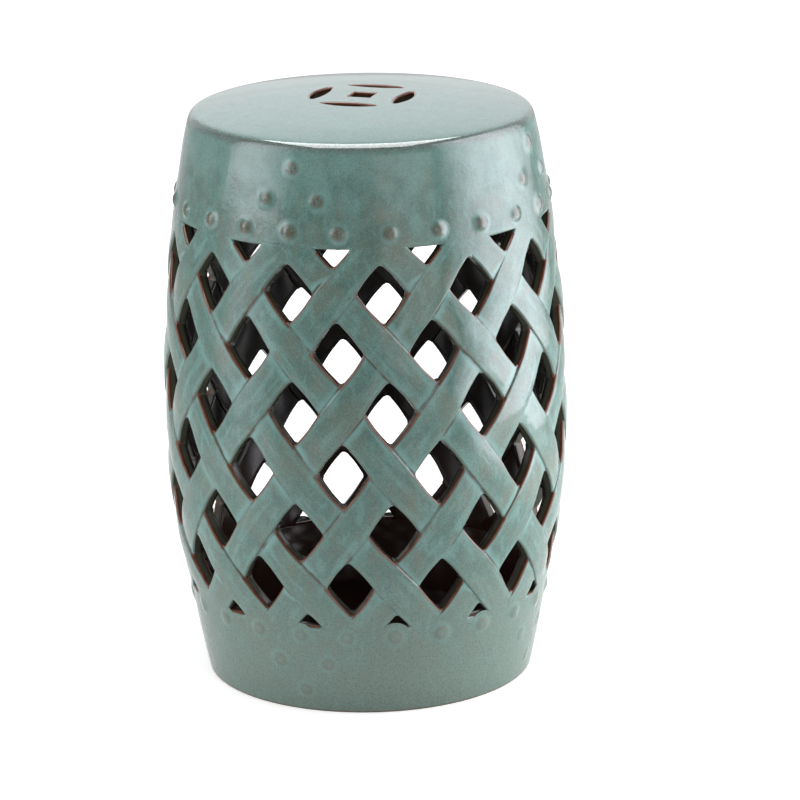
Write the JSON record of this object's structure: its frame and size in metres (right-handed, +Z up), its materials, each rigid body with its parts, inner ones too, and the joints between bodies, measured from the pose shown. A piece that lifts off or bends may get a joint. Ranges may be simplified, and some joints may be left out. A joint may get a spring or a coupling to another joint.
{
  "type": "garden_stool",
  "caption": "Barrel-shaped glazed ceramic garden stool with a woven open lattice wall, nail-head bosses and a coin cut-out in its domed seat",
  "frame": {"origin": "middle of the foot ring, on the ground", "axes": "+Z up the axis of the barrel, -Y to the front of the picture, +X to the right of it"},
  "size_m": [0.3158, 0.3175, 0.4572],
  "materials": {
    "seat": "glossy",
    "upper_band": "glossy",
    "lower_band": "glossy",
    "lattice": "glossy",
    "floor": "glossy",
    "bosses": "glossy"
  },
  "bodies": {
    "root": {"seat_plate": "seat", "upper_band": "upper_band", "lower_band": "lower_band", "floor_plate": "floor", "strip_rising_right_01": "lattice", "strip_rising_right_02": "lattice", "strip_rising_right_03": "lattice", "strip_rising_right_04": "lattice", "strip_rising_right_05": "lattice", "strip_rising_right_06": "lattice", "strip_rising_right_07": "lattice", "strip_rising_right_08": "lattice", "strip_rising_right_09": "lattice", "strip_rising_right_10": "lattice", "strip_rising_right_11": "lattice", "strip_rising_right_12": "lattice", "strip_rising_right_13": "lattice", "strip_rising_left_01": "lattice", "strip_rising_left_02": "lattice", "strip_rising_left_03": "lattice", "strip_rising_left_04": "lattice", "strip_rising_left_05": "lattice", "strip_rising_left_06": "lattice", "strip_rising_left_07": "lattice", "strip_rising_left_08": "lattice", "strip_rising_left_09": "lattice", "strip_rising_left_10": "lattice", "strip_rising_left_11": "lattice", "strip_rising_left_12": "lattice", "strip_rising_left_13": "lattice", "upper_ring_bosses": "bosses", "upper_cluster_bosses": "bosses", "lower_ring_bosses": "bosses", "lower_cluster_bosses": "bosses"}
  },
  "joints": []
}
